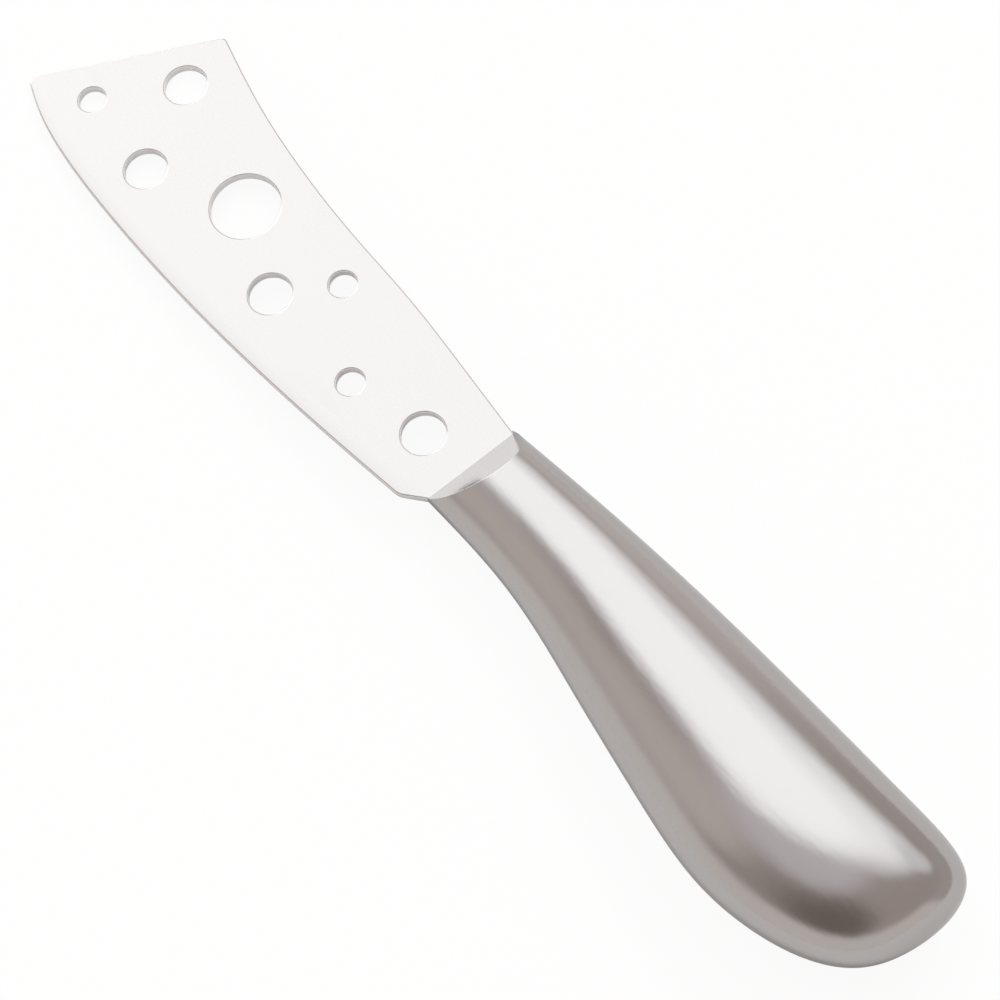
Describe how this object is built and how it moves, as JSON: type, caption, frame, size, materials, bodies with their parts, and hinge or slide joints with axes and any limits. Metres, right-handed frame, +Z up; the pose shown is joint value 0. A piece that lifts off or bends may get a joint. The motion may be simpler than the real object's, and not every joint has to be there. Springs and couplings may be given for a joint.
{
  "type": "cheese knife",
  "caption": "Cheese knife with a broad punched steel blade, a slanted square tip and a hollow, rounded steel handle that swells towards the butt.",
  "frame": {"origin": "on the table, under the middle of the knife's bounding box, as the knife lies at rest on its straight tip and the belly of its handle", "axes": "+X from the tip to the butt of the handle, +Y towards the spine, +Z up from the table; the blade leans 3.7 degrees, rising from its tip"},
  "size_m": [0.199, 0.036, 0.0202],
  "materials": {
    "blade_steel": "fine pale satin",
    "handle_steel": "satin",
    "cement": "dull cast resin"
  },
  "bodies": {
    "root": {"blade": "blade_steel", "upper_shell": "handle_steel", "lower_shell": "handle_steel", "tang_cement": "cement"}
  },
  "joints": []
}
